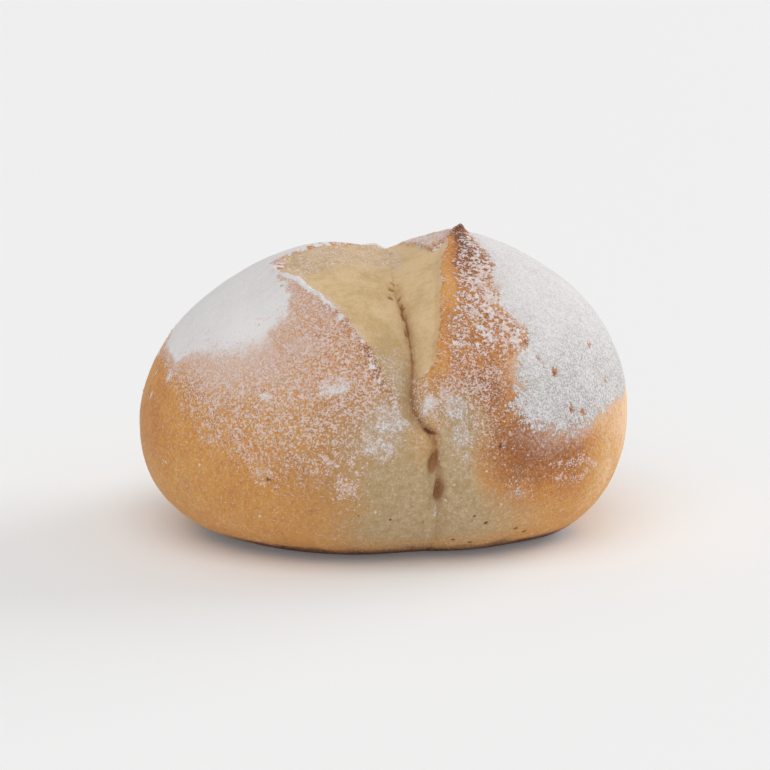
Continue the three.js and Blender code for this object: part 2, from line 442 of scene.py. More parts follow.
def body_radius(directions):
    """Distance from the middle to the unsplit body: a superquadric whose eighths differ in half
    size and roundness, with a bell added for each swell."""
    turn = math.radians(TWIST)
    x = directions[..., 0] * math.cos(turn) + directions[..., 1] * math.sin(turn)
    y = directions[..., 1] * math.cos(turn) - directions[..., 0] * math.sin(turn)
    z = directions[..., 2]
    wide = np.abs(x / np.where(x < 0, HALF_LEFT, HALF_RIGHT))
    deep = np.abs(y / np.where(y < 0, HALF_FRONT, HALF_BACK))
    ring = (wide**PLAN_POWER + deep**PLAN_POWER) ** (1 / PLAN_POWER)
    high = np.abs(z) / np.where(z > 0, RISE * (1 + LEAN * x), DROP)
    dome_power = LEFT_DOME_POWER + (RIGHT_DOME_POWER - LEFT_DOME_POWER) * (0.5 + 0.5 * x)
    power = np.where(z > 0, dome_power, BELLY_POWER)
    radius = (ring**power + high**power) ** (-1 / power)
    for compass, up, spread, height in SWELLS.values():
        radius = radius + height * bell(degrees_between(directions, compass, up), 0, spread)
    return radius


def crease_place(turn):
    """Where the crease runs, as millimetres to the right of the middle."""
    bends = sum(bend["shift"] * bell(turn, bend["at"], bend["spread"]) for bend in BENDS)
    return BOW["shift"] * hump(turn, BOW) + bends


def lip_reach(lip, turn):
    """Distance of a lip from the crease: it opens evenly to the lip's corner, and closes
    behind it."""
    along = np.clip((turn - lip["start"]) / (lip["corner"] - lip["start"]), 0, 1)
    wave = LIP_WAVE["size"] * np.sin(np.radians(LIP_WAVE["rate"] * turn))
    opened = along * (1 - ramp(lip["leave"], lip["end"], turn))
    return SEAM["reach"] + (lip["reach"] - SEAM["reach"] + wave) * opened


def at_side(side, left, right):
    """Takes the left value left of the crease, and the right value right of it."""
    return np.where(side < 0, left, right)


def lip_steps(side, turn):
    """Height of the torn step at the lip of each side."""
    return at_side(side, *(lip["step"] * hump(turn, lip) for lip in (LEFT_LIP, RIGHT_LIP)))


class Split:
    """The split at each place of a grid: side of the crease, distance to the lip, and zones."""

    def __init__(self, place, turn, points):
        self.turn = turn
        self.side = place - crease_place(turn)
        self.away = np.abs(self.side)
        smooth_reach = at_side(self.side, lip_reach(LEFT_LIP, turn), lip_reach(RIGHT_LIP, turn))
        self.opened = ramp(SEAM["reach"] + 0.1, SEAM["reach"] + 1.6, smooth_reach)
        ragged = 0.45 * grain(points, 3.0, 11) + 0.28 * grain(points, 1.2, 12)
        self.ragged = 0.22 * grain(points, 1.1, 14)
        self.reach = smooth_reach + ragged * self.opened * at_side(self.side, 1.0, 0.6)
        self.inside = self.reach - self.away
        flap_line = np.interp(points[..., 0], *zip(*FLAP_EDGE))
        before_flap = flap_line - points[..., 1] + 0.5 * grain(points, 2.4, 13)
        beside = (self.side > 0.5) & (turn > FLAP_FROM) & (turn < FLAP_TO)
        self.flap_gap = np.where(beside & (self.inside > 0), -before_flap, -9)
        self.flap = ramp(-0.5, 0.9, self.flap_gap)
        self.torn = np.where(beside, np.minimum(self.inside, before_flap), self.inside)
        self.seam_zone = (1 - self.opened) * hump(turn, SEAM_LUMPS_AT)

    def depth(self):
        """Depth below the body: a wide trough, a torn wall that slopes from the lip's step down
        to the crease, less a rolled edge at the lip, and the crack and stitch holes."""
        share = self.away / self.reach
        inside = 1 - ramp(LIP_EDGE["inner"], LIP_EDGE["outer"], share)
        top = hump(self.turn, CRACK)
        share = np.hypot(share, CRACK["soft"] * top)
        seam_share = hump(self.turn, SEAM)
        depth = SEAM["depth"] * seam_share + OPENING["depth"] * hump(self.turn, OPENING)
        step = lip_steps(self.side, self.turn)
        low = TROUGH["share"] * depth * bell(self.away, 0, TROUGH["reach"])
        wall = (1 - TROUGH["share"]) * depth * np.maximum(1 - share, 0) ** OPENING["slope"]
        past = np.maximum(self.away - self.reach, 0)
        roll = LIP_ROLL["share"] * step * bell(past, 0, LIP_ROLL["width"]) * (1 - inside)
        deep = seam_share * CRACK["depth"] * np.exp(-self.away / CRACK["width"])
        deep = deep * (1 - CRACK["fade"] * top)
        for hole in STITCH_HOLES:
            deep = deep + hole[-1] * self.in_hole(hole)
        return low + wall + step * inside * (1 - 0.6 * self.flap) - roll + deep

    def in_hole(self, hole):
        """1 inside a stitch hole and 0 outside it."""
        at, half_angle, half_width, shift, lean, _ = hole
        across = (self.side - shift - lean * (self.turn - at) + self.ragged) / half_width
        along = (self.turn - at) / half_angle + self.ragged
        return np.exp(-((across**2 + along**2) ** 1.5))


def spaced(low, high, count, density):
    """Values from low to high whose spacing is one over a density: the running sum of the
    density is read backwards at even steps."""
    fine = np.linspace(low, high, 4000)
    middles = (fine[1:] + fine[:-1]) / 2
    sums = np.concatenate([[0], np.cumsum(density(middles))])
    return np.interp(np.linspace(0, sums[-1], count), sums, fine)


def cut_by_table(radius, directions):
    """Shortens each distance to where the table cuts it, with a small round rim."""
    down = directions[..., 2] < -1e-6
    table = np.where(down, WAIST_HEIGHT / np.where(down, -directions[..., 2], 1), np.inf)
    near = np.maximum(1 - np.abs(radius - table) / RIM_ROUND, 0)
    return np.minimum(radius, table) - near * near * RIM_ROUND / 4


def line_height(line, compass):
    """Height of a flour line at each compass angle."""
    angles, heights = zip(*line)
    return np.interp(compass, angles, heights, period=360)


def near_place(points, place, radius):
    """A bell of height 1 round a place, with its radius in millimetres."""
    gap = np.linalg.norm((points - np.array(place)) / np.array(radius), axis=-1)
    return np.exp(-gap * gap)


def total(points, places):
    """The bells round some places, each times its amount, added up."""
    return sum(amount * near_place(points, place, radius) for place, radius, amount in places)


def highest(points, places):
    """The highest of the bells round some places, each times its amount."""
    return np.maximum.reduce([
        amount * near_place(points, place, radius) for place, radius, amount in places])


class Crust:
    """What lies on the roll's surface at each point: browning, flour and relief."""

    def __init__(self, points, split):
        self.points = points
        self.split = split
        self.height = points[..., 2]
        self.torn = ramp(-0.2, 0.5, split.torn) * split.opened
        self.crust_side = 1 - self.torn
        self.tip = np.clip(total(points, SCORCHED_PLACES), 0, 1)
        self.mark_bands()
        self.mark_lips()
        self.lay_flour()
        self.bake()
        self.mark_pits()

    def less(self, **shares):
        """What is left after each named amount takes its share: the product of one less each."""
        return np.prod([1 - share * getattr(self, name) for name, share in shares.items()], axis=0)

    def beyond_cap(self, line, side):
        """Distance outwards past the edge of the thick flour beside the split."""
        heights, places = zip(*line)
        wander = 1.5 * grain(self.points, 5, 24) + 1.1 * grain(self.points, 1.9, 25)
        return side * (self.points[..., 0] - np.interp(self.height, heights, places)) + wander

    def mark_bands(self):
        """The bands beside the split where the thick flour came off, the smooth strip and the
        worm-shaped flour in the right one, and the bare dough left of the seam."""
        split, points, height = self.split, self.points, self.height
        left, right = split.side < 0, split.side > 0
        front = split.turn < FRONT_END
        past = split.away - split.reach
        crusty = front * ramp(-0.5, 0.5, past)
        self.left_band = crusty * left * ramp(
            2.0, -2.0, self.beyond_cap(LEFT_CAP, -1)) * ramp(*LEFT_BAND_HEIGHTS, height)
        beyond = self.beyond_cap(RIGHT_CAP, 1)
        band = crusty * right * ramp(3.6, -1.6, beyond) * ramp(*RIGHT_BAND_HEIGHTS, height)
        self.right_band = np.maximum(band, ramp(0.2, 0.5, self.tip) * (past > 0))
        self.high_band = self.right_band * ramp(*HIGH_BAND_HEIGHTS, height)
        self.bare_inside = front * right * ramp(1.0, -1.5, beyond) * ramp(*BARE_INSIDE_HEIGHTS, height)

        edge = past + 0.9 * grain(points, 2.5, 26) - ramp(36, 24, split.turn)
        self.strip = front * right * ramp(-0.2, 0.3, past) * ramp(3.6, 1.8, edge) * ramp(
            18, 30, split.turn) * (0.42 + 0.58 * ramp(42, 54, split.turn))
        worms = self.right_band * ramp(*WORM_HEIGHTS, height) * (0.80 + 0.26 * ramp(-6, 0, beyond))
        worms = worms * self.less(strip=0.95, tip=0.22) * (1 - near_place(points, TIP_PLACE, 2.2))
        self.worms = np.clip(worms, 0, 1) * self.crust_side

        edge = np.interp(split.turn, *zip(*BARE_LINE)) + 0.5 * grain(points, 2.0, 36)
        self.bare_dough = hump(split.turn, BARE_DOUGH_AT) * ramp(
            -0.5, 0.4, split.side - edge) * ramp(0.2, -0.8, split.side)

    def mark_lips(self):
        """Flour along the left lip, as a ridge and as flakes low down and at the back, and the
        places where it flaked off and left brown crust."""
        split, points = self.split, self.points
        left = split.side < 0
        flakes = grain(points, 1.5, 27)
        ridge = 1.5 * bell(split.torn, -0.45, 0.55) * left * hump(split.turn, LIP_FLOUR_AT)
        low = bell(split.torn, -0.9, 1.0) * left * hump(split.turn, LOWER_LIP_AT)
        back = bell(split.torn, 0.3, 1.8) * (split.side < -6) * hump(split.turn, BACK_LIP_AT)
        self.back_edge = back * ramp(-0.30, -0.05, flakes)
        self.lip_flour = np.maximum.reduce([
            0.9 * ridge, 0.85 * low * ramp(0.0, 0.35, flakes), 0.8 * back * ramp(0.0, -0.2, flakes)])
        bared = back * ramp(0.0, 0.25, flakes)
        flaked = np.clip(total(points, FLAKED_PLACES), 0, 1)
        flaked = ramp(0.50, 0.74, 0.62 * flaked + 0.5 * grain(points * (1, 1, 0.6), 1.0, 29))
        self.kept_flour = (1 - 0.75 * bared) * (1 - 0.75 * flaked)
        self.lip_brown = 1.7 * low * ramp(0.1, -0.2, flakes) + 0.6 * bared + 0.8 * flaked

    def lay_flour(self):
        """Flour lies thick above the thick line, outside the two bands beside the split. Between
        the thin line and the thick line it is a haze, and specks."""
        split, points, height = self.split, self.points, self.height
        across = points[..., 0]
        compass = np.degrees(np.arctan2(points[..., 1], across)) % 360
        low, high = (line_height(line, compass) for line in (THIN_LINE, THICK_LINE))
        wander = 1.8 * grain(points, 13, 21) + grain(points, 5, 22)
        level = (height + wander - low) / (high - low)
        right_share = ramp(*RIGHT_LOBE_PLACES, across)
        clods = 0.22 * grain(points, 2.5, 23)
        lumps = np.maximum.reduce([
            amount * ramp(0.1, 0.9, near_place(points, place, radius) + clods)
            for place, radius, amount in FLOUR_LUMPS]) * (1 - 0.9 * self.bare_dough)

        thick = ramp(0.60 - 0.12 * right_share, 1.30 + 0.06 * right_share, level)
        thick = thick * self.less(left_band=1, right_band=1) * (1 - 0.95 * split.flap)
        flap = 0.40 * split.flap * ramp(2.0, 5.0, split.flap_gap) * (1 + 0.9 * grain(points, 1.4, 28))
        flour = np.maximum.reduce([thick * self.kept_flour, 0.52 * lumps, flap, self.lip_flour])
        self.flour = np.clip(flour, 0, 1) * (1 - self.torn * (1 - self.back_edge))

        wall_dust = near_place(points, *DUSTY_WALL)
        haze = 0.17 * ramp(-0.02, 0.25, level) + 0.82 * ramp(0.35, 1.0, level)
        haze = haze * (1 - 0.25 * right_share)
        haze = haze * self.less(left_band=0.35, high_band=0.75, bare_inside=0.60, bare_dough=0.6)
        haze = np.maximum.reduce([haze, highest(points, HAZY_PLACES), 0.72 * lumps])
        self.haze = np.maximum.reduce([
            np.clip(haze, 0, 1) * self.crust_side,
            0.55 * split.flap * ramp(1.5, 3.5, split.flap_gap), 0.45 * wall_dust * self.torn])

        low_right = ramp(*RIGHT_FRONT_PLACES, across) * ramp(*FOOT_HEIGHTS, height)
        specks = ramp(-0.12, 0.45, level) * (1 - 0.50 * ramp(*FAR_RIGHT_PLACES, across))
        specks = specks * (1 - 0.40 * low_right)
        specks = specks * self.less(bare_dough=0.6, strip=0.85, high_band=0.5)
        dust = 0.20 + 0.75 * ramp(*BACK_FADE, split.turn) + 0.55 * bell(split.torn, 0.6, 1.4)
        dust = dust + 0.9 * near_place(points, *DUSTY_CORNER)
        dust = dust * ramp(4.5, 2.0, split.side) + 0.4 * wall_dust
        self.specks = np.clip(np.maximum(specks, 0.30) * self.crust_side + dust * self.torn, 0, 1)
        # Grit: coarser, greyer flour low on the right lobe, its grey partly painted shade; in the opening
        # it also paints the crumb of the right wall lighter, as painted light
        self.sandy = right_share * (0.28 + 0.52 * ramp(*GRIT_AND_SHADE_HEIGHTS, height))
        self.sandy = self.sandy + total(points, GRIT_AND_SHADE_PLACES)

    def bake(self):
        """Browning from 0, lightly baked, to 1, burnt, lowered at the right rim as a painted highlight,
        and the pale dough at the front foot.
        """
        points, height = self.points, self.height
        brown = 0.36 + 0.06 * grain(points, 12, 31) + 0.04 * grain(points, 4, 32)
        # Browning, lowered at the right rim as a painted highlight
        brown = brown + total(points, BROWNING_AND_HIGHLIGHT_PLACES)
        brown = brown + 0.34 * self.right_band * (1 - 0.85 * self.strip) - 0.05 * self.strip
        brown = brown - 0.17 * self.right_band * ramp(*LOW_BAND_HEIGHTS, height)
        brown = brown + 0.10 * self.left_band + 0.25 * self.lip_brown
        brown = brown + 0.24 * bell(self.split.flap_gap, 1.0, 2.4) + 0.42 * self.tip
        self.browning = np.clip(brown, 0, 1)
        self.pale = np.clip(total(points, PALE_PLACES), 0, 1)
        # Painted shade on the left wall of the opening, and the dough's own olive tone left of the seam
        # and low on the left lobe
        self.shaded = np.clip(total(points, SHADED_PLACES) + 0.5 * self.bare_dough, 0, 1)
        rim = ramp(*RIM_HEIGHTS, height + 1.1 * grain(points, 5, 33))
        self.burn = np.clip(np.maximum(0.85 * rim, 0.62 * self.tip), 0, 1)

    def mark_pits(self):
        """Dark places: painted shade in the crease, its holes, the pits beside it and the pores, and
        chipped flour.
        """
        split, points = self.split, self.points
        away = np.maximum(split.away - 0.30 * grain(points, 1.0, 34), 0)
        strength = np.interp(split.turn, *zip(*CREASE_STRENGTH))
        pits = sum(
            np.exp(-((points[..., 0] - across) / wide) ** 2 - ((split.turn - turn) / long) ** 2)
            for across, turn, wide, long in CREASE_PITS) * (1 + 1.1 * grain(points, 0.8, 35))
        self.pits = np.clip(pits, 0, 1)
        self.pores = np.clip(sum(near_place(points, place, PORE_RADIUS) for place in PORES), 0, 1)
        self.crease = np.clip(0.65 * np.exp(-away / 0.8) * strength, 0, 1)
        self.holes = np.clip(np.maximum.reduce([
            sum(split.in_hole(hole) for hole in STITCH_HOLES), bell(away, 0, 0.32) * strength,
            self.pits]), 0, 1)
        self.strands = highest(points, STRAND_PLACES)
        self.chips = np.clip(total(points, [
            (place, CHIP_RADIUS, amount) for place, amount in CHIPS]), 0, 1)
        self.flour = self.flour * self.less(chips=1, tip=0.95)
        self.haze = self.haze * self.less(chips=0.8, tip=0.7)
        self.browning = np.clip(self.browning + 0.5 * self.chips, 0, 1)

    def torn_depth(self):
        """Distance inside the torn edge in millimetres, from -4 on the crust to 4 in the crumb,
        where strands of crumb count as torn and flakes at the back lip as crust."""
        split = self.split
        torn = np.clip(split.torn, -4, 4) * split.opened - 4 * (1 - split.opened)
        return np.clip(np.maximum(torn, 8 * self.strands - 4) - 5 * self.back_edge, -4, 4)

    def relief(self):
        """Height in millimetres above the plain form: dimples all over, crags near the lips and
        the tip, lumps in the seam, and a skin of flour where it lies thick."""
        split, points = self.split, self.points
        dimples = 0.26 * grain(points, 17, 41) + 0.12 * grain(points, 7, 42)
        saddle = 0.9 * bell(split.side, 0.8, 2.2) * hump(split.turn, SADDLE_AT)
        saddle = saddle - 0.85 * near_place(points, *SADDLE_PLACE)
        skin = 0.04 * rough(points, 2.6, 43, 2)
        crags = self.right_band * (0.10 + 0.22 * rough(points, 2.1, 44, 2))
        crags = crags + self.left_band * 0.12 * rough(points, 1.9, 53, 2)
        crags = crags + 0.26 * self.tip * rough(points, 1.8, 45, 2)
        from_tip = np.linalg.norm(points - np.array(TIP_PLACE), axis=-1)
        spike = SPIKE["height"] * np.exp(-from_tip / SPIKE["radius"])
        ridge = bell(split.torn, -0.5, 0.7) * (split.side < 0) * hump(split.turn, LIP_RIDGE_AT)
        ridge = 0.42 * ridge * (1 + 0.6 * grain(points, 1.6, 46))
        crumb = self.torn * 0.09 * rough(points, 4.5, 47, 2)
        seam = split.seam_zone * bell(split.away, 0, 4.5)
        seam = seam * (0.45 * grain(points * (1, 1, 0.6), 2.0, 49) + 0.18 * grain(points, 1.0, 50))
        dark = -0.6 * self.pits - 0.4 * self.pores - 0.3 * self.chips
        strands = 0.25 * self.strands * grain(points * (1, 1, 0.35), 1.1, 54)
        powder = self.flour * (0.10 + (0.03 + 0.07 * self.sandy) * rough(points, 1.5, 51, 2))
        flap = split.flap * (0.25 + 0.22 * grain(points, 1.8, 52))
        parts = (dimples, saddle, skin, crags, spike, ridge, crumb, seam, dark, strands, powder, flap)
        return ramp(*TABLE_GAP_HEIGHTS, self.height) * sum(parts)


def roll_surface(rows, columns):
    """The roll as a closed grid: angles round the roll by angles across it, close together at
    the front, over the top and near the crease. The body is lowered by the split, raised by the
    tip and the relief, and cut flat by the table."""
    def round_density(turn):
        return ROUND_COARSE + hump(turn, ROUND_FINE)

    def across_density(angle):
        return ACROSS_COARSE + bell(angle, 0, ACROSS_FINE)

    turn = spaced(-90, 270, rows + 1, round_density)[:-1][:, None]
    across = spaced(-90, 90, columns + 2, across_density)[1:-1][None, :]
    lean = np.degrees(np.arcsin(crease_place(turn) / HALF_FRONT))
    across = np.radians(across + lean * (1 - np.abs(across) / 90) ** 2)
    turn = np.broadcast_to(turn, across.shape)
    directions = directions_at(across, turn)
    body = body_radius(directions)
    plain = directions * body[..., None] + (*BODY_MIDDLE, WAIST_HEIGHT)
    split = Split(body * np.sin(across), turn, plain)
    crust = Crust(plain, split)
    tip = TIP["height"] * np.exp(
        -degrees_between(directions, TIP["compass"], TIP["up"]) / TIP["spread"])
    radius = cut_by_table(body - split.depth() + tip + crust.relief(), directions)
    points = directions * radius[..., None] + (*BODY_MIDDLE, WAIST_HEIGHT)
    points[..., 2] = np.maximum(points[..., 2], 0)
    return points, crust


def closed_grid(points):
    """Faces of a grid whose rows close into a ring and whose ends meet in a point at each side,
    with the two end points added after the grid's own."""
    rows, columns = points.shape[:2]
    number = np.arange(rows * columns).reshape(rows, columns)
    following = np.roll(number, -1, axis=0)
    quads = np.stack([
        number[:, :-1], number[:, 1:], following[:, 1:], following[:, :-1],
    ], axis=-1).reshape(-1, 4)
    left_end, right_end = rows * columns, rows * columns + 1
    left = np.stack([np.full(rows, left_end), number[:, 0], following[:, 0]], axis=-1)
    right = np.stack([np.full(rows, right_end), following[:, -1], number[:, -1]], axis=-1)
    ends = [points[:, 0].mean(axis=0), points[:, -1].mean(axis=0)]
    flat = np.concatenate([points.reshape(-1, 3), ends])
    return flat, [quads, np.concatenate([left, right])]


def with_ends(values):
    """A grid of values as one list, with the two end points' values after it."""
    return np.concatenate([values.ravel(), [values[:, 0].mean(), values[:, -1].mean()]])


def make_piece(name, points, faces, smooth=True):
    """A mesh object from points in millimetres and arrays of faces."""
    mesh = bpy.data.meshes.new(name)
    corners = np.concatenate([part.ravel() for part in faces])
    sizes = np.concatenate([np.full(len(part), part.shape[1]) for part in faces])
    mesh.vertices.add(len(points))
    mesh.vertices.foreach_set("co", (points * METRES).astype(np.float32).ravel())
    mesh.loops.add(len(corners))
    mesh.loops.foreach_set("vertex_index", corners.astype(np.int32))
    mesh.polygons.add(len(sizes))
    starts = np.concatenate([[0], np.cumsum(sizes)[:-1]])
    mesh.polygons.foreach_set("loop_start", starts.astype(np.int32))
    mesh.polygons.foreach_set("use_smooth", np.full(len(sizes), smooth))
    mesh.update(calc_edges=True)
    mesh.validate()
    piece = bpy.data.objects.new(name, mesh)
    bpy.context.scene.collection.objects.link(piece)
    return piece


def paint(piece, name, values):
    """Keeps one number for each point of a piece, for its material to read."""
    layer = piece.data.attributes.new(name, "FLOAT", "POINT")
    layer.data.foreach_set("value", values.astype(np.float32))


class Value:
    """A value socket whose operators add the Math nodes of an expression."""

    def __init__(self, recipe, socket):
        self.recipe = recipe
        self.socket = socket

    def combine(self, operation, *others):
        node = self.recipe.node("ShaderNodeMath", {"operation": operation}, dict(enumerate(others)))
        return Value(self.recipe, node.outputs[0])

    def __add__(self, other):
        return self.combine("ADD", self, other)

    def __sub__(self, other):
        return self.combine("SUBTRACT", self, other)

    def __mul__(self, other):
        return self.combine("MULTIPLY", self, other)

    def __rsub__(self, other):
        return self.combine("SUBTRACT", other, self)

    def size(self):
        return self.combine("ABSOLUTE", self)

    def at_least(self, other):
        return self.combine("MAXIMUM", self, other)

    __radd__ = __add__
    __rmul__ = __mul__


class Recipe:
    """The nodes of one material, read from Object coordinates in metres."""

    def __init__(self, name):
        self.material = bpy.data.materials.new(name)
        self.material.use_nodes = True
        self.tree = self.material.node_tree
        self.tree.nodes.clear()
        self.shader = self.node("ShaderNodeBsdfPrincipled")
        self.node("ShaderNodeOutputMaterial", inputs={"Surface": self.shader.outputs[0]})
        self.places = self.node("ShaderNodeTexCoord").outputs["Object"]

    def node(self, kind, settings=None, inputs=None):
        """Adds one node, with its settings first and then its sockets' values or links."""
        node = self.tree.nodes.new(kind)
        for key, setting in (settings or {}).items():
            if key == "stops":
                self.set_stops(node.color_ramp, setting)
            else:
                setattr(node, key, setting)
        for key, value in (inputs or {}).items():
            source = value.socket if isinstance(value, Value) else value
            if isinstance(source, bpy.types.NodeSocket):
                self.tree.links.new(source, node.inputs[key])
            else:
                node.inputs[key].default_value = source
        return node

    def set_stops(self, colour_ramp, stops):
        while len(colour_ramp.elements) < len(stops):
            colour_ramp.elements.new(0.5)
        for element, (place, colour) in zip(colour_ramp.elements, stops):
            element.position = place
            element.color = (*colour, 1)

    def painted(self, name):
        """A number kept at the piece's points."""
        node = self.node("ShaderNodeAttribute", {"attribute_name": name})
        return Value(self, node.outputs["Fac"])

    def noise(self, size, detail=2.0, roughness=0.55):
        """Soft noise from 0 to 1, with its size in millimetres."""
        node = self.node("ShaderNodeTexNoise", inputs={
            "Vector": self.places, "Scale": 1 / (size * METRES), "Detail": detail,
            "Roughness": roughness,
        })
        return Value(self, node.outputs["Fac"])

    def grain(self, size, detail):
        """Noise from about -1 to 1, with its size in millimetres."""
        return (self.noise(size, detail) - 0.5) * SHADER_GRAIN_GAIN

    def cells(self, size):
        """Distance from the middle of random cells, and a random number for each cell."""
        node = self.node("ShaderNodeTexVoronoi", inputs={
            "Vector": self.places, "Scale": 1 / (size * METRES),
        })
        parts = self.node("ShaderNodeSeparateColor", inputs={"Color": node.outputs["Color"]})
        return Value(self, node.outputs["Distance"]), Value(self, parts.outputs[0])

    def step(self, value, start, end):
        """0 before start and 1 after end, joined by a smooth S."""
        node = self.node("ShaderNodeMapRange", {"interpolation_type": "SMOOTHSTEP"}, {
            "Value": value, "From Min": start, "From Max": end,
        })
        return Value(self, node.outputs["Result"])

    def colours(self, value, stops):
        """A colour by value, through colour stops."""
        node = self.node("ShaderNodeValToRGB", {"stops": stops}, {"Fac": value})
        return node.outputs["Color"]

    def mix(self, share, first, second, blend="MIX"):
        """The first colour turned into the second by a share."""
        colours = [part if isinstance(part, bpy.types.NodeSocket) else (*part, 1)
                   for part in (first, second)]
        node = self.node("ShaderNodeMix", {"data_type": "RGBA", "blend_type": blend}, {
            0: share, 6: colours[0], 7: colours[1],
        })
        return node.outputs[2]

    def finish(self, colour, roughness, height, depth):
        """Joins colour, roughness and a bump of the given depth in millimetres to the shader."""
        bump = self.node("ShaderNodeBump", inputs={
            "Strength": 1.0, "Distance": depth * METRES, "Height": height,
        })
        for key, source in (("Base Color", colour), ("Normal", bump.outputs["Normal"])):
            self.tree.links.new(source, self.shader.inputs[key])
        if isinstance(roughness, Value):
            self.tree.links.new(roughness.socket, self.shader.inputs["Roughness"])
        else:
            self.shader.inputs["Roughness"].default_value = roughness
        return self.material


def crust_material(crust, flour):
    """Baked crust under flour, and bare crumb where the roll tore open."""
    recipe = Recipe("floured_crust")
    torn = recipe.painted("torn")
    cover = recipe.painted("flour")
    haze = recipe.painted("haze")
    specks = recipe.painted("specks")
    worms = recipe.painted("worms")
    sandy = recipe.painted("sandy")
    tiny, fine, middling, broad = (recipe.grain(*grains) for grains in SHADER_GRAINS)
    mottle = fine * 0.75 + tiny * 0.55

    baked = recipe.painted("browning") + broad * 0.12 + middling * 0.14 - mottle * (
        0.18 + specks * 0.22)
    crust_colour = recipe.colours(baked, [
        # The lightest stop also paints the highlight at the right rim
        (0.08, crust.light_crust_and_highlight_colour), (0.32, crust.golden_colour), (0.55, crust.amber_colour),
        (0.90, crust.brown_colour),
    ])
    burn = recipe.step(recipe.painted("burn") + middling * 0.2 - mottle * 0.2, 0.1, 0.9)
    crust_colour = recipe.mix(burn, crust_colour, crust.burnt_colour)

    shaded = recipe.painted("shaded")
    # Crumb tone: random, painted lighter on the right wall as painted light, and darker where shaded,
    # partly painted shade
    crumb_tone = recipe.step(
        broad * 0.5 + middling * 0.3 + mottle * 0.22 + sandy * 1.1 - shaded, -0.45, 0.40)
    crumb_colour = recipe.mix(crumb_tone, crust.crumb_shade, crust.crumb_colour)
    bare = recipe.step(torn + middling * 0.25 + mottle * 0.25, -0.15, 0.3)
    base = recipe.mix(bare, crust_colour, crumb_colour)
    pale = recipe.step(recipe.painted("pale") + broad * 0.25 + middling * 0.15, 0.0, 1.0)
    dough = recipe.mix(recipe.step(middling * 0.4 + mottle * 0.5, -0.5, 0.5),
                       crust.dough_shade, crust.pale_colour)
    base = recipe.mix(pale, base, dough)
    # Darker olive dough where shaded: partly painted shade, partly the dough's own tone
    base = recipe.mix(shaded * 0.35, base, crust.olive_colour)
    # Painted shade along the crease
    base = recipe.mix(recipe.painted("crease"), base, crust.crease_shade_colour)

    # Painted shade in small open pores
    pore_gap, pore_pick = recipe.cells(3.2)
    pore = recipe.step(pore_gap, 0.10, 0.05) * recipe.step(pore_pick, 0.78, 0.82) * pale
    pore = pore.at_least(recipe.step(recipe.painted("pores"), 0.25, 0.6))
    base = recipe.mix(pore * 0.85, base, crust.pore_shade_colour)

    film = recipe.step(haze + broad * 0.12 + middling * 0.20 + mottle * 0.40, 0.0, 1.05)
    base = recipe.mix(film * 0.8, base, flour.haze_colour)
    dots = recipe.step(
        fine * 0.45 + tiny * 0.70 + middling * 0.25 + specks * 0.5, 0.40, 0.72)
    dots = dots * (specks * 0.52 + 0.28)
    base = recipe.mix(dots, base, flour.speck_colour)

    vein = (recipe.noise(1.6, 2) - 0.5).size()
    clot = recipe.grain(0.95, 2)
    worm = recipe.step(
        (0.06 - vein) * 2.4 + clot * 0.36 + mottle * 0.20 + worms * 0.46, 0.30, 0.50)
    worm = worm * recipe.step(worms, 0.06, 0.3)
    worm_colour = recipe.mix(recipe.step(clot, -0.2, 0.5), flour.speck_colour, flour.colour)
    base = recipe.mix(worm * 0.9, base, worm_colour)
    ragged = mottle * 0.55 + middling * 0.40
    unevenness = (1.3 - cover) * (0.4 + sandy * 1.7) * recipe.step(cover, 0.0, 0.4)
    powder = recipe.step(cover * 1.15 + ragged * unevenness, 0.30, 0.74)
    white = powder.at_least(worm * 0.9)
    # Painted shade: flour grey in its small hollows, and greyer where the grit is high, low on the right
    # lobe
    shade = recipe.step(
        tiny * (0.06 + sandy * 0.62) + fine * (0.07 + sandy * 0.26) + middling * (
            0.06 + sandy * 0.16) + broad * 0.10 + 0.26 - sandy * 0.34, -0.6, 0.5)
    powder_colour = recipe.mix(shade, flour.shade_colour, flour.colour)
    colour = recipe.mix(powder * 0.96, base, powder_colour)
    # Painted shade in the stitch holes, the crease line and the pits beside it
    hole = recipe.step(recipe.painted("holes") + mottle * 0.12, 0.34, 0.66)
    colour = recipe.mix(hole * 0.85, colour, crust.crease_shade_colour)
    white = white * (1 - hole)

    rise = white.at_least(dots * 0.8)
    roughness = CRUST_ROUGHNESS + rise * (FLOUR_ROUGHNESS - CRUST_ROUGHNESS)
    height = rise * 0.5 + mottle * 0.28 + middling * 0.12 - pore * 0.6
    recipe.shader.inputs["Specular IOR Level"].default_value = CRUST_SHINE
    return recipe.finish(colour, roughness, height, CRUST_BUMP)


def fleck_material(flour):
    """Dry flour, a little uneven from fleck to fleck."""
    recipe = Recipe("flour")
    tone = recipe.step(recipe.grain(2.0, 2), -0.4, 0.4)
    colour = recipe.mix(tone, flour.haze_colour, flour.speck_colour)
    recipe.shader.inputs["Specular IOR Level"].default_value = FLOUR_SHINE
    return recipe.finish(colour, FLOUR_ROUGHNESS, recipe.grain(0.15, 1), FLECK_BUMP)


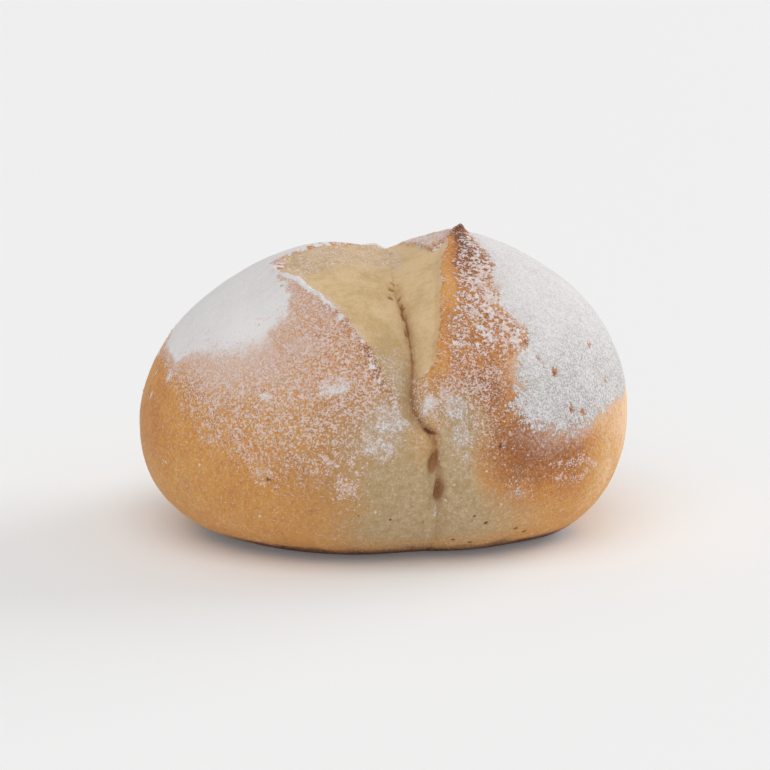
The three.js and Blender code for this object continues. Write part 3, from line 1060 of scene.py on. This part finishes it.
def scatter_flecks(points, crust, count, size, seed):
    """Flour flecks lying on the roll: flat eight-sided crumbs on random faces of the grid, more
    where the dusting is speckled, on the bands beside the split, and in the listed clumps.
    Returns their points and faces."""
    source = np.random.default_rng(seed)
    following = np.roll(points, -1, axis=0)
    a, b = points[:, :-1], points[:, 1:]
    c, d = following[:, 1:], following[:, :-1]
    normal = np.cross(b - a, d - a)
    area = np.linalg.norm(normal, axis=-1)
    wishes = {
        "specks": (0.07 + ramp(0.3, 0.9, crust.specks)) * (1 - crust.flour) * crust.crust_side,
        "worms": crust.worms,
        "clumps": np.clip(sum(near_place(points, place, CLUMP_RADIUS) for place in CLUMPS), 0, 1),
        "thin flour": (crust.flour > 0.3) & (crust.flour < 0.9),
    }
    wish = sum(FLECK_SHARES[name] * amount for name, amount in wishes.items())
    wish = (wish * ramp(*FLECK_HEIGHTS, crust.height))[:, :-1]
    clump = ramp(-0.05, 0.6, grain(a, 1.7, seed + 1) + 0.5 * grain(a, 5.0, seed + 2))
    weight = (area * wish * (0.06 + clump)).ravel()
    pick = source.choice(weight.size, size=count, p=weight / weight.sum())
    right, ahead = source.random((2, count, 1))
    parts = [part.reshape(-1, 3)[pick] for part in (a, b, c, d)]
    near_side = parts[0] * (1 - right) + parts[1] * right
    far_side = parts[3] * (1 - right) + parts[2] * right
    middle = near_side * (1 - ahead) + far_side * ahead
    outward = normal.reshape(-1, 3)[pick]
    outward = outward / np.linalg.norm(outward, axis=1, keepdims=True)
    along = np.cross(outward, source.normal(size=(count, 3)))
    along /= np.linalg.norm(along, axis=1, keepdims=True)
    beside = np.cross(outward, along)
    radius = np.clip(size * np.exp(FLECK_SPREAD * source.normal(size=(count, 1))), *FLECK_SIZES)
    long = radius * (1 + 0.9 * source.random((count, 1)))
    high = radius * (0.40 + 0.35 * source.random((count, 1)))
    corners = np.stack([
        middle + along * long, middle + beside * radius, middle - along * long,
        middle - beside * radius, middle + outward * high, middle - outward * high * 0.6,
    ], axis=1)
    ring = np.arange(4)
    after = (ring + 1) % 4
    one = np.concatenate([
        np.stack([ring, after, np.full(4, 4)], axis=-1),
        np.stack([after, ring, np.full(4, 5)], axis=-1),
    ])
    faces = (one[None] + 6 * np.arange(count)[:, None, None]).reshape(-1, 3)
    return corners.reshape(-1, 3), [faces]


def screen_colour(name, description, *shares):
    """A colour setting whose default is given by the three numbers that a screen shows."""
    return FloatVectorProperty(
        name=name, description=description, subtype="COLOR", default=from_screen(*shares))


class RollForm(bpy.types.PropertyGroup):
    """Size and fineness of the roll."""

    width: FloatProperty(
        name="Width", description="Width of the roll across its split",
        default=cad_box[1][0] - cad_box[0][0], min=0.02, unit="LENGTH",
    )
    rows: IntProperty(
        name="Rows", description="Points round the roll", default=322, min=40, max=330,
    )
    columns: IntProperty(
        name="Columns", description="Points across the roll", default=304, min=40, max=310,
    )


class RollCrust(bpy.types.PropertyGroup):
    """Colours of crust and crumb."""

    pale_colour: screen_colour("Pale", "Dough that barely browned", 208, 182, 142)
    dough_shade: screen_colour("Pale shade", "Darker grain of the pale dough", 176, 148, 108)
    # Lightest crust, also the colour of the painted highlight at the right rim
    light_crust_and_highlight_colour: screen_colour("Light crust", "Crust that only just took colour", 246, 204, 162)
    golden_colour: screen_colour("Golden", "Lightly baked crust", 221, 165, 93)
    amber_colour: screen_colour("Amber", "Well baked crust", 209, 141, 75)
    brown_colour: screen_colour("Brown", "Dark baked crust", 160, 98, 54)
    burnt_colour: screen_colour("Burnt", "The darkest crust, at the tip and the rim", 104, 58, 36)
    crumb_colour: screen_colour("Crumb", "Bare crumb in the opening", 230, 199, 153)
    crumb_shade: screen_colour("Crumb shade", "Darker places of the crumb", 201, 169, 116)
    # Painted shade of the crease, its stitch holes and the pits beside it
    crease_shade_colour: screen_colour("Crease", "Moist dough deep in the crease", 168, 120, 78)
    olive_colour: screen_colour("Olive", "Shaded dough low on the left wall of the opening", 168, 142, 98)
    # Painted shade in the pores
    pore_shade_colour: screen_colour("Pores", "Small open pores", 92, 62, 42)


class RollFlour(bpy.types.PropertyGroup):
    """Colours and amount of flour."""

    colour: screen_colour("Flour", "Dry flour", 240, 238, 238)
    shade_colour: screen_colour("Flour shade", "Flour in the small hollows", 164, 159, 157)
    haze_colour: screen_colour("Haze", "A thin film of flour over crust", 232, 206, 194)
    speck_colour: screen_colour("Specks", "Fine specks of flour on crust", 234, 212, 206)
    flecks: IntProperty(
        name="Flecks", description="Number of loose flour flecks",
        default=7500, min=0, max=24000,
    )
    fleck_size: FloatProperty(
        name="Fleck size", description="Usual half width of a fleck, in millimetres",
        default=0.105, min=0.05, max=0.4,
    )
    seed: IntProperty(name="Seed", description="Where the flecks fall", default=7)


class RollStudio(bpy.types.PropertyGroup):
    """Table, lights and camera."""

    floor_colour: FloatVectorProperty(
        name="Table", description="Pale table top",
        subtype="COLOR", default=(0.86, 0.86, 0.86),
    )
    floor_glow: FloatProperty(
        name="Table glow", description="Light that the table gives back",
        default=0.09, min=0, max=1,
    )
    sky_strength: FloatProperty(
        name="Sky", description="Even light from all round", default=0.48, min=0,
    )
    key_strength: FloatProperty(
        name="Key light", description="Strength of the wide soft light overhead",
        default=1.0, min=0,
    )
    side_strength: FloatProperty(
        name="Side light", description="Strength of the wide soft light from the right",
        default=1.45, min=0,
    )


class ROLL_OT_bake_roll(bpy.types.Operator):
    """Make the roll with its split, tip and crust."""

    bl_idname = "roll.bake_roll"
    bl_label = "Bake the roll"

    def execute(self, context):
        scene = context.scene
        points, crust = sized_roll(scene.roll_form)
        roll = make_piece("split_roll", *closed_grid(points))
        paint(roll, "torn", with_ends(crust.torn_depth()))
        for name in PAINTED:
            paint(roll, name, with_ends(getattr(crust, name)))
        roll.data.materials.append(crust_material(scene.roll_crust, scene.roll_flour))
        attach(roll, BODY)
        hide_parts(ROLL_NODE)
        return {"FINISHED"}


class ROLL_OT_dust_flour(bpy.types.Operator):
    """Scatter loose flecks of flour over the crust."""

    bl_idname = "roll.dust_flour"
    bl_label = "Dust with flour"

    def execute(self, context):
        scene = context.scene
        flour = scene.roll_flour
        points, crust = sized_roll(scene.roll_form)
        flecks = make_piece("flour_flecks", *scatter_flecks(
            points, crust, flour.flecks, flour.fleck_size, flour.seed), smooth=False)
        flecks.data.materials.append(fleck_material(flour))
        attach(flecks, BODY)
        return {"FINISHED"}


def sized_roll(form):
    """The roll's surface at the wanted width."""
    points, crust = roll_surface(form.rows, form.columns)
    return points * (form.width / METRES / MODEL_WIDTH), crust


def wide_light(name, strength, towards, width):
    """A far light that shines evenly from a direction, from a wide patch of the sky so that its
    shadows are soft. Its width is an angle in degrees."""
    data = bpy.data.lights.new(name, "SUN")
    data.angle = math.radians(width)
    data.energy = strength
    lamp = bpy.data.objects.new(name, data)
    lamp.rotation_euler = Vector(towards).to_track_quat("Z", "Y").to_euler()
    bpy.context.scene.collection.objects.link(lamp)


class ROLL_OT_set_stage(bpy.types.Operator):
    """Lay the table, and set the lights and the camera."""

    bl_idname = "roll.set_stage"
    bl_label = "Set the stage"

    def execute(self, context):
        scene = context.scene
        studio = scene.roll_studio
        signs = np.array([[-1, -1], [1, -1], [1, 1], [-1, 1]])
        corners = np.column_stack([signs * TABLE_HALF, np.full(4, TABLE_TOP)])
        floor = make_piece("table_top", corners, [np.array([[0, 1, 2, 3]])], smooth=False)
        recipe = Recipe("table_top")
        for socket, setting in (
            ("Base Color", (*studio.floor_colour, 1)), ("Roughness", TABLE_ROUGHNESS),
            ("Emission Color", WHITE), ("Emission Strength", studio.floor_glow),
        ):
            recipe.shader.inputs[socket].default_value = setting
        floor.data.materials.append(recipe.material)

        world = bpy.data.worlds.new("studio")
        world.use_nodes = True
        sky = world.node_tree.nodes["Background"]
        sky.inputs["Color"].default_value = WHITE
        sky.inputs["Strength"].default_value = studio.sky_strength
        scene.world = world
        wide_light("key", studio.key_strength, **KEY_LIGHT)
        wide_light("side", studio.side_strength, **SIDE_LIGHT)

        camera = bpy.data.objects.new("camera", bpy.data.cameras.new("camera"))
        camera.data.lens = CAMERA_LENS
        turn, up = math.radians(CAMERA_TURN), math.radians(CAMERA_UP)
        back = Vector((math.sin(turn) * math.cos(up), -math.cos(turn) * math.cos(up), math.sin(up)))
        aim = Vector(CAMERA_AIM) * METRES
        camera.location = aim + back * CAMERA_DISTANCE * METRES
        camera.rotation_euler = (-back).to_track_quat("-Z", "Y").to_euler()
        scene.collection.objects.link(camera)
        scene.camera = camera
        scene.view_settings.view_transform = "Standard"
        return {"FINISHED"}


class ROLL_PT_panel(bpy.types.Panel):
    """The roll's sizes, colours and buttons."""

    bl_idname = "ROLL_PT_panel"
    bl_label = "Floured split roll"
    bl_space_type = "VIEW_3D"
    bl_region_type = "UI"
    bl_category = "Roll"

    def draw(self, context):
        for group in (name for name, _ in GROUPS):
            box = self.layout.box()
            settings = getattr(context.scene, group)
            for name in settings.bl_rna.properties.keys():
                if name not in ("rna_type", "name"):
                    box.prop(settings, name)
        for operator in OPERATORS:
            self.layout.operator(operator.bl_idname)


GROUPS = (
    ("roll_form", RollForm), ("roll_crust", RollCrust),
    ("roll_flour", RollFlour), ("roll_studio", RollStudio),
)
OPERATORS = (ROLL_OT_bake_roll, ROLL_OT_dust_flour, ROLL_OT_set_stage)


def register():
    for _, group in GROUPS:
        bpy.utils.register_class(group)
    for operator in OPERATORS:
        bpy.utils.register_class(operator)
    bpy.utils.register_class(ROLL_PT_panel)
    for name, group in GROUPS:
        setattr(bpy.types.Scene, name, PointerProperty(type=group))


def unregister():
    for name, _ in GROUPS:
        delattr(bpy.types.Scene, name)
    bpy.utils.unregister_class(ROLL_PT_panel)
    for operator in reversed(OPERATORS):
        bpy.utils.unregister_class(operator)
    for _, group in reversed(GROUPS):
        bpy.utils.unregister_class(group)


def plain(box):
    return [[float(number) for number in corner] for corner in box]


def main():
    register()
    bpy.ops.roll.bake_roll()
    bpy.ops.roll.dust_flour()
    bpy.ops.roll.set_stage()


if __name__ == "__main__":
    main()
